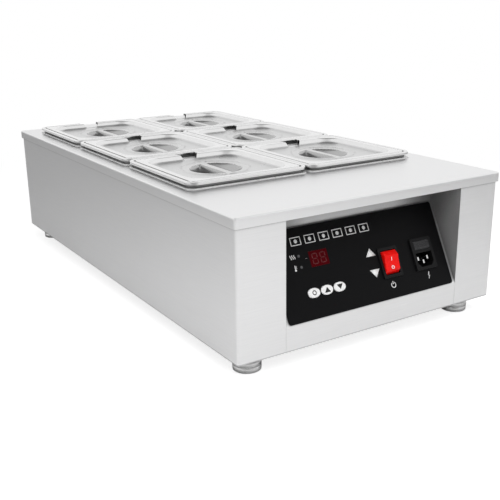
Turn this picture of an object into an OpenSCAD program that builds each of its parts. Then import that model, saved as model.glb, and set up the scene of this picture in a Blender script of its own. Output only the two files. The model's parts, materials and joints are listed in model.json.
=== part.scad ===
// Six-pan chocolate melting tank: a stainless cabinet on screw feet, with lidded pans in a heated well
// Origin on the floor under the middle of the deck, front towards -Y, up is +Z

/* [Overall] */
// Width of the top deck, side to side
deck_w = 360; // [300:1:420]
// Length of the top deck, front to back
deck_l = 655; // [545:1:760]
// Height from the floor to the top of the lids
overall_h = 180; // [150:1:215]
// Thickness of the stainless sheet
sheet_t = 1.2; // [0.8:0.1:1.6]

/* [Cabinet] */
// Height of the deck's turned-down lip
lip_h = 11; // [8:0.5:16]
// Gap between the lip and the cabinet wall
lip_gap = 0.8; // [0.4:0.1:1.6]
// Outside radius of the cabinet's upright bends
bend_r = 3; // [2.4:0.2:6]
// Width of the flanges turned in along the walls
wall_flange = 12; // [10:0.5:14]
// Width of each front pillar beside the control window
pillar_w = 58; // [48:1:68]
// Height of the plain apron under the control slope
apron_h = 26; // [20:1:32]
// Distance that the control slope runs back
slope_d = 46; // [38:1:52]
// Height of the upright wall over the control slope
upright_h = 34; // [26:1:40]
// Depth of the cheeks behind the front pillars
cheek_d = 54; // [50:1:62]
// Gap between the front panel and each cheek
panel_gap = 0.2; // [0.1:0.1:0.5]

/* [Pans] */
// Deck left in front of the first row of pans
pan_front_margin = 125; // [105:1:145]
// Deck left behind the last row of pans
pan_back_margin = 36; // [32:1:42]
// Deck left beside the outer pans
pan_side_margin = 20.5; // [18:0.5:24]
// Gap between the two columns of pans
pan_gap_x = 3; // [2:0.5:6]
// Gap between the rows of pans
pan_gap_y = 4; // [2:0.5:6]
// Width of the pan's flange
pan_flange = 9; // [7:0.5:11]
// Corner radius of the pan's flange
pan_rim_r = 8; // [5:0.5:14]
// Thickness of the pan's sheet
pan_wall = 1; // [0.6:0.1:1.4]
// Corner radius of the pan's body at the top
pan_corner_r = 19; // [16:1:30]
// Lean of each pan wall over its height
pan_lean = 5; // [2:0.5:6]
// Height of the sloping band round the pan's floor
pan_foot_h = 9; // [6:1:14]
// Lean of that band
pan_foot_in = 7; // [5:0.5:9]
// Gap round a pan's body in its cut-out
cutout_gap = 1.5; // [1:0.1:2.5]

/* [Lids] */
// Reach of the lid past the pan's flange
lid_reach = 0.6; // [0.2:0.1:0.8]
// Corner radius of the lid
lid_corner_r = 13; // [10:0.5:18]
// Height of the lid's band over the pan's flange
lid_skirt_h = 7; // [6:0.5:9]
// Height of the lid's turned-down edge
lid_edge_h = 3.2; // [2.6:0.1:5]
// Width of the rest ring pressed into the band
rest_w = 3; // [2.6:0.1:4]
// Rest ring set in from the lid's edge
rest_inset = 4.2; // [3:0.1:5]
// Thickness of the lid's sheet
lid_t = 0.9; // [0.6:0.1:1.2]
// Width of the flat band round the lid
lid_band = 14; // [12:0.5:17]
// Depth of the lid's recessed panel
lid_recess = 6; // [4:0.5:6.4]
// Lean of the recess wall
lid_recess_in = 3; // [2:0.5:5]
// Corner radius of the recess
lid_recess_r = 24; // [18:1:32]
// Diameter of the pinch dish
dish_d = 64; // [54:1:70]
// Depth of the pinch dish
dish_depth = 9; // [7:0.5:12]
// Lean of the dish wall
dish_lean = 6; // [3:0.5:8]
// Width of the pinch bar across the dish
bar_w = 11; // [9:0.5:14]
// Radius of the raised bead round the dish
bead_r = 1.1; // [0.8:0.1:1.5]
// Flat run of the panel between the dish and the bead
bead_run = 8; // [6:0.5:9]
// Width of the ladle notch in the back edge
notch_w = 28; // [20:1:34]
// Reach of the ladle notch into the lid
notch_reach = 20; // [17:0.5:24]

/* [Well and heater] */
// Gap from the outer cut-outs to the well's walls
well_margin = 5; // [3:0.5:6]
// Gap between the pans' floors and the well's floor
well_floor_gap = 10; // [6:0.5:14]
// Width of the well's flange under the deck
well_flange = 5; // [4:0.5:6]
// Diameter of the heater tube
element_d = 8; // [6:0.5:9]
// Distance of the outer heater runs from the well's walls
element_inset = 32; // [24:1:40]
// Height of the heater space between the insulation and the well
heater_space = 22.6; // [19:0.2:27]
// Gap between the heater and the well's floor
element_gap = 0.2; // [0.1:0.1:0.5]
// Thickness of the insulation board
insulation_t = 18; // [12:1:20]

/* [Feet] */
// Gap between the floor and the cabinet's underside
foot_h = 20; // [18:1:30]
// Diameter of the feet
foot_d = 30.6; // [26:0.2:36]
// Height of the fixed collar above each cup
collar_h = 8; // [6:0.5:9]
// Distance of a foot's axis from the cabinet's sides
foot_inset = 28; // [26:1:34]
// Diameter of the foot's threaded stud
stud_d = 8; // [6:1:10]
// Reach that each foot can be screwed out
foot_travel = 6; // [3:0.5:8]

/* [Controls] */
// Edge of the slope left bare beside the black fascia
fascia_side = 4.5; // [3:0.5:8]
// Thickness of the black fascia
fascia_t = 1.6; // [1.2:0.1:2.4]
// Edge of the slope left bare above and below the fascia
fascia_margin = 1; // [0.5:0.1:2]
// Corner radius of the fascia
fascia_r = 3; // [2:0.5:5]
// Width of the display window
display_w = 24; // [22:0.5:27]
// Height of the display window
display_h = 17; // [16:0.5:20]
// Width of a push button
button_w = 15.6; // [13:0.2:16]
// Height of a push button
button_h = 10.4; // [9.6:0.2:12]
// Distance between neighbouring push buttons
button_pitch = 17; // [16.8:0.1:18]
// Travel of a push button
button_travel = 0.8; // [0.4:0.1:1]
// Width of the rocker
rocker_w = 20; // [17:0.5:22]
// Length of the rocker
rocker_l = 27; // [24:0.5:30]
// Tilt of the rocker each way from level
rocker_tilt = 10; // [6:1:12]
// Width of the mains inlet's flange
inlet_w = 31; // [30:0.5:34]
// Height of the mains inlet's flange
inlet_h = 37; // [36:0.5:40]
// Length of a fuse, which is also the travel of the drawer that holds it
fuse_l = 20; // [15:1:22]

/* [Hidden] */
$fn = 64;
// Overrun of cuts past a face
over = 1;
// Gap round pieces that are set into a hole
set_gap = 0.1;
// Radial clearance of a running fit
run_gap = 0.05;
// Gap beside pieces that slide or swing
slide_gap = 0.3;

COLUMNS = ["left", "right"];
ROWS = ["front", "middle", "back"];
KEYS = ["set", "up", "down"];
SIDES = [-1, 1];
ENDS = ["front", "back"];

// Cabinet heights and plan
lid_rise = pan_wall + lid_skirt_h;
deck_top = overall_h - lid_rise;
body_top = deck_top - sheet_t;
body_w = deck_w - 2 * (sheet_t + lip_gap);
body_l = deck_l - 2 * (sheet_t + lip_gap);
body_front = -body_l / 2;
wrap_bottom = foot_h + sheet_t;
wrap_h = body_top - wrap_bottom;
window_w = body_w - 2 * pillar_w;

// Control slope
apron_top = wrap_bottom + apron_h;
slope_rise = body_top - upright_h - apron_top;
slope_a = atan(slope_d / slope_rise);
slope_len = norm([slope_d, slope_rise]);
panel_w = window_w - 2 * panel_gap;

// Pans, rows counted from the front
pan_w = (deck_w - 2 * pan_side_margin - pan_gap_x) / len(COLUMNS);
pan_l = (deck_l - pan_front_margin - pan_back_margin - 2 * pan_gap_y) / len(ROWS);
pan_body_w = pan_w - 2 * pan_flange;
pan_body_l = pan_l - 2 * pan_flange;
pan_pitch_x = pan_w + pan_gap_x;
pan_pitch_y = pan_l + pan_gap_y;
pan_flange_top = deck_top + pan_wall;
pan_bottom = wrap_bottom + insulation_t + heater_space + sheet_t + well_floor_gap;
pan_depth = pan_flange_top - pan_bottom;
pans_y = deck_l / 2 - pan_back_margin - pan_l / 2 - pan_pitch_y;
cutout_w = pan_body_w + 2 * cutout_gap;
cutout_l = pan_body_l + 2 * cutout_gap;
cutout_r = pan_corner_r + cutout_gap;

// Lids, with heights counted from the top of the pan's flange
lid_w = pan_w + 2 * lid_reach;
lid_l = pan_l + 2 * lid_reach;
recess_w = lid_w - 2 * lid_band;
recess_l = lid_l - 2 * lid_band;
lid_panel_z = lid_skirt_h - lid_recess;
dish_floor_z = lid_panel_z - dish_depth;

// Well, heater and insulation
well_w = pan_pitch_x + cutout_w + 2 * well_margin;
well_l = 2 * pan_pitch_y + cutout_l + 2 * well_margin;
well_r = 12;
well_floor = pan_bottom - well_floor_gap;
well_under = well_floor - sheet_t;
well_front = pans_y - well_l / 2;
well_rim_gap = 2.8;
top_flange = body_w / 2 - well_w / 2 - sheet_t - well_flange - well_rim_gap;
element_r = element_d / 2;
element_z = well_under - element_gap - element_r;
element_runs = 6;
element_pitch = (well_w - 2 * element_inset) / (element_runs - 1);
element_end_gap = 30;
element_tail = 26;
element_pin_d = 3.5;
element_pin_l = 10;
run_l = well_l - 2 * element_end_gap - element_pitch;
clamp_w = 12;
clamp_post_d = 5;
clamp_count = 3;
clamp_top = element_z - element_r - element_gap;
clamp_span = element_pitch * (element_runs - 1) + 2 * clamp_w;
clamp_step = run_l / clamp_count;
insulation_w = well_w;
insulation_l = well_l - element_end_gap;

// Sensors on the well
probe_d = 6;
probe_l = 46;
probe_x = element_pitch;
probe_y = pans_y + clamp_step / 2;
probe_z = well_under - element_gap - probe_d / 2;
probe_clip_w = 10;
probe_clip_ear = 6;
cutoff_d = 16;
cutoff_h = 9;
cutoff_x = 70;
cutoff_rise = 40;
cutoff_z = well_floor + cutoff_rise;
cutoff_plate = [25, 1.2, 18];
cutoff_tab = [6.3, 8, 0.8];

// Feet
foot_x = body_w / 2 - foot_inset;
foot_y = body_l / 2 - foot_inset;
cup_h = foot_h - collar_h;
cup_chamfer = 1.2;
collar_chamfer = 0.8;
stud_sink = 7;
stud_spare = 6;
stud_rise = foot_travel + stud_spare;
nut_h = 6.5;
nut_share = 1.85;
nut_d = nut_share * stud_d;

// Base plate
screw_d = 4;
screw_head_d = 7.4;
screw_head_h = 2.4;
screw_l = 8;
screw_inset = 7;
side_screw_shares = [-0.3, 0, 0.3];
back_screw_shares = [-0.25, 0.25];
screw_spots = concat(
    [for (side = SIDES, share = side_screw_shares) [side * (body_w / 2 - screw_inset), share * body_l]],
    [for (share = back_screw_shares) [share * body_w, body_l / 2 - screw_inset]]);
vent_w = 4;
vent_l = 40;
vent_pitch = 10;
vent_count = 8;
vent_back = 62;
vent_y = body_front + vent_back;

// Fascia layout: shares across the fascia, from its middle, and up the slope, from its foot
fascia_w = window_w - 2 * fascia_side;
fascia_h = slope_len - 2 * fascia_margin;
display_shares = [-0.253, 0.626];
lamp_across_share = -0.361;
heat_lamp_up_share = 0.685;
thermal_lamp_up_share = 0.566;
button_shares = [-0.331, 0.278];
rocker_shares = [0.14, 0.407];
inlet_shares = [0.357, 0.417];
board_shares = [-0.27, 0.467];
display_x = display_shares[0] * fascia_w;
display_y = display_shares[1] * slope_len;
display_rest = 2;
lamp_x = lamp_across_share * fascia_w;
heat_lamp_y = heat_lamp_up_share * slope_len;
thermal_lamp_y = thermal_lamp_up_share * slope_len;
lamp_d = 3;
lamp_rim_d = 4.4;
lamp_rim_h = 1;
lamp_proud = 0.5;
button_x = button_shares[0] * fascia_w;
button_y = button_shares[1] * slope_len;
rocker_x = rocker_shares[0] * fascia_w;
rocker_y = rocker_shares[1] * slope_len;
inlet_x = inlet_shares[0] * fascia_w;
inlet_y = inlet_shares[1] * slope_len;

// Control board behind the display and the buttons
board_back = 15;
board_t = 1.6;
board_w = 64;
board_l = 68;
board_x = board_shares[0] * fascia_w;
board_y = board_shares[1] * slope_len;
board_inset = 4;
standoff_d = 5;
module_size = [23, 16, 8];
relay_size = [19, 15, 15];
relay_place = [-16, 14];
transformer_size = [24, 20, 18];
transformer_place = [12, -14];

// Push buttons
button_proud = 1;
button_skirt = 1.6;
button_lip = 0.8;
stem_d = 3.5;
key_size = 6;
key_h = 5;
stem_reach = 2;

// Rocker switch
pivot_sink = 2;
rocker_pivot_z = fascia_t - pivot_sink;
rocker_crown = 4.5;
rocker_sole = 4;
rocker_slant = 5.5;
rocker_end_h = 1.5;
trunnion_d = 3;
trunnion_l = 1.2;
switch_wall = 1.8;
bezel_rim = 1.6;
bezel_h = 2;
bezel_r = 1.5;
switch_depth = 22;
switch_cavity_w = rocker_w + 2 * slide_gap;
switch_cavity_l = rocker_l + 2 * slide_gap;
switch_body_w = switch_cavity_w + 2 * switch_wall;
switch_body_l = switch_cavity_l + 2 * switch_wall;
switch_cavity_d = 9;
tab_w = 6.3;
tab_t = 0.8;
tab_l = 8;
tab_pitch = 12;

// Mains inlet: socket below, fuse drawer above
inlet_flange_h = 2.5;
inlet_rim = 2;
inlet_depth = 30;
inlet_r = 2;
inlet_body_w = inlet_w - 2 * inlet_rim;
inlet_body_h = inlet_h - 2 * inlet_rim;
inlet_face = fascia_t + inlet_flange_h;
socket_w = 24;
socket_h = 16.4;
socket_depth = 18;
socket_corner = 4.5;
socket_y = -6.9;
blade_w = 2;
blade_l = 4;
blade_sink = 3.5;
blade_pitch = 14;
blade_shift = 2;
blade_tail = 8;
blade_spots = [
    [-blade_pitch / 2, socket_y + blade_shift],
    [blade_pitch / 2, socket_y + blade_shift],
    [0, socket_y - blade_shift]];
drawer_w = 23;
drawer_h = 9.4;
drawer_y = 10;
drawer_front = 6;
drawer_l = fuse_l + drawer_front;
drawer_rib = 0.7;
drawer_ribs = 4;
fuse_d = 5;
fuse_pitch = 11;

// Wiring places on the base plate
block_size = [50, 20, 16];
block_x = -20;
block_ahead = 34;
block_y = well_front - block_ahead;
block_way = 6;
block_ways = 4;
block_pitch = 11;
earth_x = 60;
earth_ahead = 25;
earth_y = block_y - earth_ahead;
earth_d = 5;
earth_l = 16;
earth_nut_h = 4;
earth_nut_d = 9;
lead_bend = 8;
wire_r = 1.3;
wire_sides = 8;

// Point on the control slope: across, up the slope, and out of its face
function slope_point(x, up, out) = [
    x,
    body_front + up * sin(slope_a) - out * cos(slope_a),
    apron_top + up * cos(slope_a) + out * sin(slope_a)];

// Middle of the pan in a row and a column
function pan_place(row, col) = [(col - 1 / 2) * pan_pitch_x, pans_y + (row - 1) * pan_pitch_y];

// Axis of the foot at one end and side
function foot_place(end, col) = [SIDES[col] * foot_x, SIDES[end] * foot_y];

// Place of the heater run of that number
function run_x(number) = (number - (element_runs - 1) / 2) * element_pitch;

function unit(v) = v / norm(v);
function right_of(v) = [v[1], -v[0]];

// Inner corner of a sheet of thickness t that is bent at b, on its way from a to c
function inner_corner(a, b, c, t) =
    let (first = right_of(unit(b - a)), second = right_of(unit(c - b)))
    b + (first + second) * t / (1 + first * second);

// Far side of a sheet that lies on the right of a path
function sheet_side(path, t) =
    let (last = len(path) - 1)
    [for (i = [0 : last])
        i == 0 ? path[0] + t * right_of(unit(path[1] - path[0])) :
        i == last ? path[last] + t * right_of(unit(path[last] - path[last - 1])) :
        inner_corner(path[i - 1], path[i], path[i + 1], t)];

function backwards(list) = [for (i = [len(list) - 1 : -1 : 0]) list[i]];

// Route with each corner cut at a share of the legs beside it
cut_share = 1 / 4;
function eased(route) = concat(
    [route[0]],
    [for (i = [0 : len(route) - 2], share = [cut_share, 1 - cut_share])
        route[i] * (1 - share) + route[i + 1] * share],
    [route[len(route) - 1]]);

// Rounded rectangle about the origin
module rounded_outline(w, l, r) {
    square([w - 2 * r, l], center = true);
    square([w, l - 2 * r], center = true);
    for (x = SIDES, y = SIDES)
        translate([x * (w / 2 - r), y * (l / 2 - r)]) circle(r);
}

module rounded_plate(w, l, r, h) {
    linear_extrude(h) rounded_outline(w, l, r);
}

// Slot shape with round ends, longer along X
module stadium(w, h) {
    square([w - h, h], center = true);
    for (x = SIDES)
        translate([x * (w - h) / 2, 0]) circle(h / 2);
}

// Block with its top at z = 0, whose walls and rounded corners all lean in by inset over its height
module leaning_block(w, l, r, inset, h) {
    for (x = SIDES, y = SIDES)
        translate([x * (w / 2 - r), y * (l / 2 - r), -h]) cylinder(h = h, r1 = r - inset, r2 = r);
    rotate([90, 0, 90]) linear_extrude(w - 2 * r, center = true)
        polygon([[-l / 2, 0], [l / 2, 0], [l / 2 - inset, -h], [inset - l / 2, -h]]);
    rotate([90, 0, 0]) linear_extrude(l - 2 * r, center = true)
        polygon([[-w / 2, 0], [w / 2, 0], [w / 2 - inset, -h], [inset - w / 2, -h]]);
}

// Sheet bent along a path in the Y-Z plane, w wide along X
module bent_sheet(path, t, w) {
    rotate([90, 0, 90]) linear_extrude(w, center = true)
        polygon(concat(path, backwards(sheet_side(path, t))));
}

// Frame of the control slope: X across, Y up the slope, Z out of its face
module on_slope(place = [0, 0, 0]) {
    translate([0, body_front, apron_top]) rotate([90 - slope_a, 0, 0]) translate(place) children();
}

// Tube swept along a route
module tube(route, r) {
    path = eased(eased(route));
    last = len(path) - 1;
    aside = unit([1, 2, 3]);
    function heading(i) = unit(path[min(i + 1, last)] - path[max(i - 1, 0)]);
    rings = [for (i = [0 : last])
        let (ahead = heading(i), side = unit(cross(ahead, aside)), up = cross(ahead, side))
        for (j = [0 : wire_sides - 1])
            path[i] + r * (cos(360 * j / wire_sides) * side + sin(360 * j / wire_sides) * up)];
    walls = [for (i = [0 : last - 1], j = [0 : wire_sides - 1])
        let (a = i * wire_sides + j, b = i * wire_sides + (j + 1) % wire_sides)
        each [[a, a + wire_sides, b], [b, a + wire_sides, b + wire_sides]]];
    near_end = [for (j = [1 : wire_sides - 2]) [0, j, j + 1]];
    far_end = [for (j = [1 : wire_sides - 2]) last * wire_sides * [1, 1, 1] + [0, j + 1, j]];
    polyhedron(rings, concat(walls, near_end, far_end));
}

// Cabinet wall seen from above: sides, back, pillars and cheeks
module wall_outline() {
    difference() {
        rounded_outline(body_w, body_l, bend_r);
        rounded_outline(body_w - 2 * sheet_t, body_l - 2 * sheet_t, bend_r - sheet_t);
        window_cut(sheet_t);
    }
    for (side = SIDES)
        translate([side * (window_w + sheet_t) / 2 - sheet_t / 2, body_front]) square([sheet_t, cheek_d]);
}

// Opening for the front panel, cut to a depth behind the front
module window_cut(depth) {
    translate([-window_w / 2, body_front - over]) square([window_w, depth + over]);
}

// Flange of a width, turned in from the cabinet wall
module flange_outline(width) {
    difference() {
        rounded_outline(body_w - sheet_t, body_l - sheet_t, bend_r - sheet_t / 2);
        rounded_outline(body_w - 2 * width, body_l - 2 * width, bend_r);
        window_cut(width);
    }
}

module screw_holes() {
    for (spot = screw_spots)
        translate(spot) circle(d = screw_d + 2 * set_gap);
}

module outer_wrap() color("gainsboro") {
    translate([0, 0, wrap_bottom]) linear_extrude(wrap_h) wall_outline();
    translate([0, 0, body_top - sheet_t]) linear_extrude(sheet_t) flange_outline(top_flange);
    translate([0, 0, wrap_bottom]) linear_extrude(sheet_t) difference() {
        flange_outline(wall_flange);
        screw_holes();
    }
}

module base_plate() color("silver") {
    translate([0, 0, foot_h]) linear_extrude(sheet_t) difference() {
        rounded_outline(body_w, body_l, bend_r);
        screw_holes();
        for (end = [0, 1], col = [0, 1])
            translate(foot_place(end, col)) circle(d = stud_d + 2 * slide_gap);
        for (i = [0 : vent_count - 1])
            translate([(i - (vent_count - 1) / 2) * vent_pitch, vent_y]) rotate(90) stadium(vent_l, vent_w);
    }
}

module base_screws() color("darkgray") {
    for (spot = screw_spots)
        translate([spot[0], spot[1], foot_h]) {
            cylinder(d = screw_d, h = screw_l);
            translate([0, 0, -screw_head_h]) cylinder(d = screw_head_d, h = screw_head_h);
        }
}

module top_deck() color("whitesmoke") {
    difference() {
        translate([0, 0, deck_top - lip_h]) rounded_plate(deck_w, deck_l, bend_r, lip_h);
        translate([0, 0, deck_top - lip_h - over])
            rounded_plate(deck_w - 2 * sheet_t, deck_l - 2 * sheet_t, bend_r - sheet_t,
                          lip_h - sheet_t + over);
        for (row = [0 : 2], col = [0 : 1])
            translate(concat(pan_place(row, col), body_top - over))
                rounded_plate(cutout_w, cutout_l, cutout_r, sheet_t + 2 * over);
    }
}

// Holes that the control pieces need in the panel
module control_holes() {
    for (y = [heat_lamp_y, thermal_lamp_y])
        translate([lamp_x, y]) circle(d = lamp_d + 2 * set_gap);
    for (i = [0 : len(KEYS) - 1])
        translate([button_x + i * button_pitch, button_y])
            stadium(button_w + 2 * slide_gap, button_h + 2 * slide_gap);
    translate([rocker_x, rocker_y])
        square([switch_body_w + 2 * set_gap, switch_body_l + 2 * set_gap], center = true);
    translate([inlet_x, inlet_y])
        square([inlet_body_w + 2 * set_gap, inlet_body_h + 2 * set_gap], center = true);
}

module front_panel() color("lightgray") {
    path = [
        [body_front + wall_flange, wrap_bottom],
        [body_front, wrap_bottom],
        [body_front, apron_top],
        [body_front + slope_d, apron_top + slope_rise],
        [body_front + slope_d, body_top],
        [body_front + slope_d + wall_flange, body_top]];
    difference() {
        bent_sheet(path, sheet_t, panel_w);
        on_slope([0, 0, -sheet_t - over]) linear_extrude(sheet_t + 2 * over) {
            control_holes();
            translate([display_x, display_y])
                square([display_w - 2 * display_rest, display_h - 2 * display_rest], center = true);
        }
    }
}

module control_fascia() color("black") {
    on_slope() linear_extrude(fascia_t) difference() {
        translate([0, slope_len / 2]) rounded_outline(fascia_w, fascia_h, fascia_r);
        control_holes();
        translate([display_x, display_y])
            square([display_w + 2 * set_gap, display_h + 2 * set_gap], center = true);
    }
}

module display_window() color("darkred") {
    on_slope([display_x, display_y, 0]) linear_extrude(fascia_t)
        square([display_w, display_h], center = true);
}

module display_module() color("dimgray") {
    on_slope([display_x, display_y, module_size[2] / 2 - board_back]) cube(module_size, center = true);
}

// Lamp lens with a rim behind the panel
module lamp(y) {
    on_slope([lamp_x, y, -sheet_t - lamp_rim_h]) {
        cylinder(d = lamp_rim_d, h = lamp_rim_h);
        cylinder(d = lamp_d, h = lamp_rim_h + sheet_t + fascia_t + lamp_proud);
    }
}

module heat_lamp() color("indianred") lamp(heat_lamp_y);

module thermal_lamp() color("darkseagreen") lamp(thermal_lamp_y);

module control_board() color("darkgreen") {
    on_slope([board_x, board_y, -board_back - board_t / 2]) cube([board_w, board_l, board_t], center = true);
}

module board_standoffs() color("goldenrod") {
    reach_x = board_w / 2 - board_inset;
    reach_y = board_l / 2 - board_inset;
    for (x = SIDES, y = SIDES)
        on_slope([board_x + x * reach_x, board_y + y * reach_y, -board_back])
            cylinder(d = standoff_d, h = board_back - sheet_t);
}

module key_switches() color("dimgray") {
    for (i = [0 : len(KEYS) - 1])
        on_slope([button_x + i * button_pitch, button_y, -board_back]) difference() {
            translate([-key_size / 2, -key_size / 2, 0]) cube([key_size, key_size, key_h]);
            translate([0, 0, key_h - stem_reach - button_travel - slide_gap])
                cylinder(d = stem_d + 2 * run_gap, h = key_h);
        }
}

module board_relay() color("royalblue") {
    on_slope([board_x + relay_place[0], board_y + relay_place[1], -board_back - board_t - relay_size[2] / 2])
        cube(relay_size, center = true);
}

module board_transformer() color("khaki") {
    on_slope([board_x + transformer_place[0], board_y + transformer_place[1],
              -board_back - board_t - transformer_size[2] / 2])
        cube(transformer_size, center = true);
}

// Push button: cap, lips behind the panel and a stem into its key switch
module button(number) color("white") {
    lip_top = -sheet_t - set_gap;
    lip_bottom = lip_top - button_skirt;
    stem_end = -board_back + key_h - stem_reach;
    on_slope([button_x + number * button_pitch, button_y, 0]) {
        translate([0, 0, lip_bottom])
            linear_extrude(fascia_t + button_proud - lip_bottom) stadium(button_w, button_h);
        translate([0, 0, lip_bottom]) linear_extrude(button_skirt)
            square([button_w / 2, button_h + 2 * (slide_gap + button_lip)], center = true);
        translate([0, 0, stem_end]) cylinder(d = stem_d, h = lip_bottom - stem_end);
    }
}

module switch_housing() color("black") {
    on_slope([rocker_x, rocker_y, 0]) difference() {
        union() {
            translate([-switch_body_w / 2, -switch_body_l / 2, -switch_depth])
                cube([switch_body_w, switch_body_l, switch_depth + fascia_t]);
            translate([0, 0, fascia_t])
                rounded_plate(switch_body_w + 2 * bezel_rim, switch_body_l + 2 * bezel_rim, bezel_r, bezel_h);
        }
        translate([-switch_cavity_w / 2, -switch_cavity_l / 2, rocker_pivot_z - switch_cavity_d])
            cube([switch_cavity_w, switch_cavity_l, switch_cavity_d + switch_depth]);
        translate([0, 0, rocker_pivot_z]) rotate([0, 90, 0])
            cylinder(d = trunnion_d + 2 * run_gap, h = rocker_w + 2 * (trunnion_l + slide_gap),
                     center = true);
    }
}

// Rocker with slanted ends, its lower half pressed in
module switch_rocker() color("red") {
    reach = rocker_l / 2;
    crest = reach - rocker_slant;
    crest_h = rocker_crown + crest * tan(rocker_tilt);
    on_slope([rocker_x, rocker_y, rocker_pivot_z]) rotate([rocker_tilt, 0, 0]) {
        rotate([90, 0, 90]) linear_extrude(rocker_w, center = true) intersection() {
            circle(reach);
            polygon([[-reach, rocker_end_h], [-crest, crest_h], [0, rocker_crown], [crest, crest_h],
                     [reach, rocker_end_h], [reach, -rocker_sole], [-reach, -rocker_sole]]);
        }
        rotate([0, 90, 0]) cylinder(d = trunnion_d, h = rocker_w + 2 * trunnion_l, center = true);
    }
}

module switch_terminals() color("goldenrod") {
    for (x = SIDES, y = SIDES)
        on_slope([rocker_x + x * tab_pitch / 2, rocker_y + y * tab_pitch / 2, -switch_depth - tab_l / 2])
            cube([tab_t, tab_w, tab_l], center = true);
}

// Socket mouth with its two lower corners cut off
module socket_outline() {
    polygon([
        [-socket_w / 2, socket_h / 2], [socket_w / 2, socket_h / 2],
        [socket_w / 2, socket_corner - socket_h / 2], [socket_w / 2 - socket_corner, -socket_h / 2],
        [socket_corner - socket_w / 2, -socket_h / 2], [-socket_w / 2, socket_corner - socket_h / 2]]);
}

module inlet_housing() color("black") {
    on_slope([inlet_x, inlet_y, 0]) difference() {
        union() {
            translate([-inlet_body_w / 2, -inlet_body_h / 2, -inlet_depth])
                cube([inlet_body_w, inlet_body_h, inlet_depth + fascia_t]);
            translate([0, 0, fascia_t]) rounded_plate(inlet_w, inlet_h, inlet_r, inlet_flange_h);
        }
        translate([0, socket_y, inlet_face - socket_depth])
            linear_extrude(socket_depth + over) socket_outline();
        for (spot = blade_spots)
            translate(concat(spot, -inlet_depth - over)) linear_extrude(inlet_depth)
                square([blade_w + 2 * set_gap, blade_l + 2 * set_gap], center = true);
        translate([0, drawer_y, inlet_face - drawer_l - slide_gap])
            linear_extrude(drawer_l + slide_gap + over)
                square([drawer_w + 2 * slide_gap, drawer_h + 2 * slide_gap], center = true);
    }
}

module inlet_pins() color("gold") {
    for (spot = blade_spots)
        on_slope([inlet_x + spot[0], inlet_y + spot[1], -inlet_depth - blade_tail])
            linear_extrude(inlet_depth + blade_tail + inlet_face - blade_sink)
                square([blade_w, blade_l], center = true);
}

module fuse_drawer() color("#222222") {
    on_slope([inlet_x, inlet_y + drawer_y, inlet_face]) {
        difference() {
            translate([0, 0, -drawer_l]) linear_extrude(drawer_l) square([drawer_w, drawer_h], center = true);
            for (x = SIDES)
                translate([x * fuse_pitch / 2, 0, -drawer_l - over])
                    cylinder(d = fuse_d + 2 * set_gap, h = fuse_l + over);
        }
        rib_pitch = drawer_h / (drawer_ribs + 1);
        for (i = [1 : drawer_ribs])
            translate([-drawer_w / 2, i * rib_pitch - drawer_h / 2 - rib_pitch / 4, 0])
                cube([drawer_w, rib_pitch / 2, drawer_rib]);
    }
}

module fuses() color("lightcyan") {
    for (x = SIDES)
        on_slope([inlet_x + x * fuse_pitch / 2, inlet_y + drawer_y, inlet_face - drawer_l])
            cylinder(d = fuse_d, h = fuse_l);
}

module well_tub() color("silver") {
    wall_h = body_top - well_under;
    difference() {
        translate([0, pans_y, well_under]) union() {
            rounded_plate(well_w + 2 * sheet_t, well_l + 2 * sheet_t, well_r + sheet_t, wall_h);
            translate([0, 0, wall_h - sheet_t])
                rounded_plate(well_w + 2 * (sheet_t + well_flange), well_l + 2 * (sheet_t + well_flange),
                              well_r + sheet_t + well_flange, sheet_t);
        }
        translate([0, pans_y, well_floor]) rounded_plate(well_w, well_l, well_r, wall_h);
    }
}

// Heater tube: straight runs joined by half turns, its two tails towards the front
module heating_element() color("dimgray") {
    tail_l = element_pitch / 2 + element_tail;
    translate([0, pans_y, element_z]) {
        for (i = [0 : element_runs - 1]) {
            tail = (i == 0 || i == element_runs - 1) ? tail_l : 0;
            translate([run_x(i), run_l / 2, 0]) rotate([90, 0, 0]) cylinder(d = element_d, h = run_l + tail);
            if (tail > 0)
                translate([run_x(i), -run_l / 2 - tail, 0]) rotate([90, 0, 0])
                    cylinder(d = element_pin_d, h = element_pin_l);
        }
        for (i = [0 : element_runs - 2])
            translate([run_x(i) + element_pitch / 2, (i % 2 == 0 ? 1 : -1) * run_l / 2, 0])
                rotate(i % 2 == 0 ? 0 : 180) rotate_extrude(angle = 180)
                    translate([element_pitch / 2, 0]) circle(element_r);
    }
}

module element_clamps() color("silver") {
    for (i = [0 : clamp_count - 1])
        translate([0, pans_y + (i - (clamp_count - 1) / 2) * clamp_step, 0]) {
            translate([-clamp_span / 2, -clamp_w / 2, clamp_top - sheet_t])
                cube([clamp_span, clamp_w, sheet_t]);
            for (place = [-2, 0, 2])
                translate([place * element_pitch, 0, clamp_top])
                    cylinder(d = clamp_post_d, h = well_under - clamp_top);
        }
}

module insulation_board() color("wheat") {
    translate([-insulation_w / 2, pans_y - insulation_l / 2, wrap_bottom])
        cube([insulation_w, insulation_l, insulation_t]);
}

module temperature_probe() color("lightgray") {
    translate([probe_x, probe_y + probe_l / 2, probe_z]) rotate([90, 0, 0])
        cylinder(d = probe_d, h = probe_l);
}

module probe_clip() color("silver") {
    inside = probe_d + 2 * set_gap;
    low = probe_z - inside / 2 - sheet_t;
    translate([probe_x, probe_y, 0]) difference() {
        union() {
            translate([-inside / 2 - sheet_t, -probe_clip_w / 2, low])
                cube([inside + 2 * sheet_t, probe_clip_w, well_under - low]);
            translate([-inside / 2 - sheet_t - probe_clip_ear, -probe_clip_w / 2, well_under - sheet_t])
                cube([inside + 2 * (sheet_t + probe_clip_ear), probe_clip_w, sheet_t]);
        }
        translate([-inside / 2, -probe_clip_w / 2 - over, low + sheet_t])
            cube([inside, probe_clip_w + 2 * over, well_under - low]);
    }
}

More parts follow.
